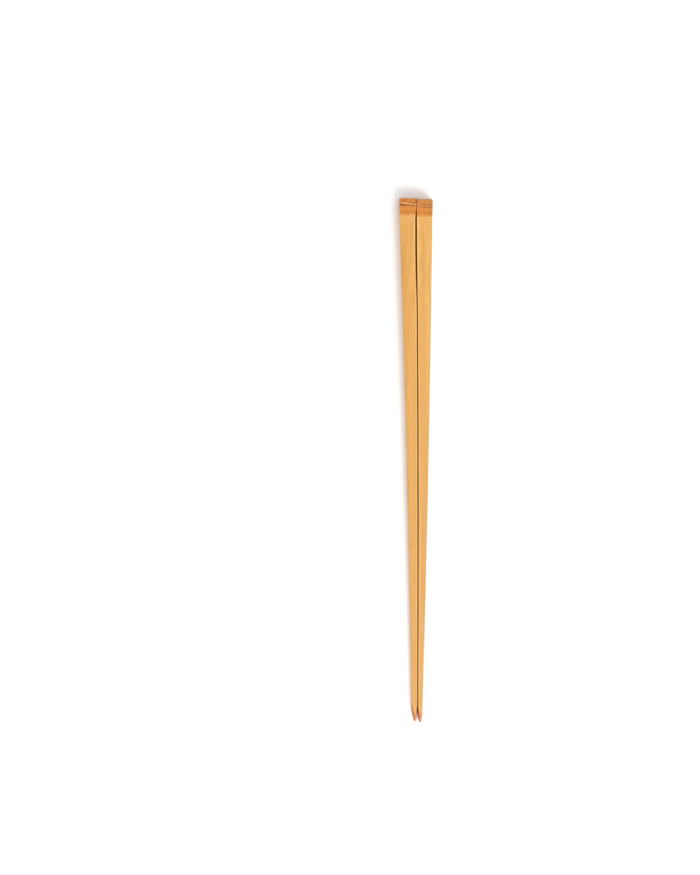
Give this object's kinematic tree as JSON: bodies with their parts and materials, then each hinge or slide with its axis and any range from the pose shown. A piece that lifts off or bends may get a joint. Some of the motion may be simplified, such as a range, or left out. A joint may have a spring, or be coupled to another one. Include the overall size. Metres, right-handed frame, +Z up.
{
  "type": "pair of bamboo chopsticks",
  "caption": "Bamboo chopsticks lying side by side, tapered from a square butt with a culm node to a blunt turned point.",
  "frame": {"origin": "on the table under the middle of the pair's outline", "axes": "+Y along the sticks towards their butt ends, +X across the pair to the right when seen from above with the butts away, +Z up from the table"},
  "size_m": [0.0152, 0.2404, 0.0062],
  "materials": {
    "bamboo": "satin"
  },
  "bodies": {
    "root": {"left_chopstick": "bamboo", "right_chopstick": "bamboo"}
  },
  "joints": []
}
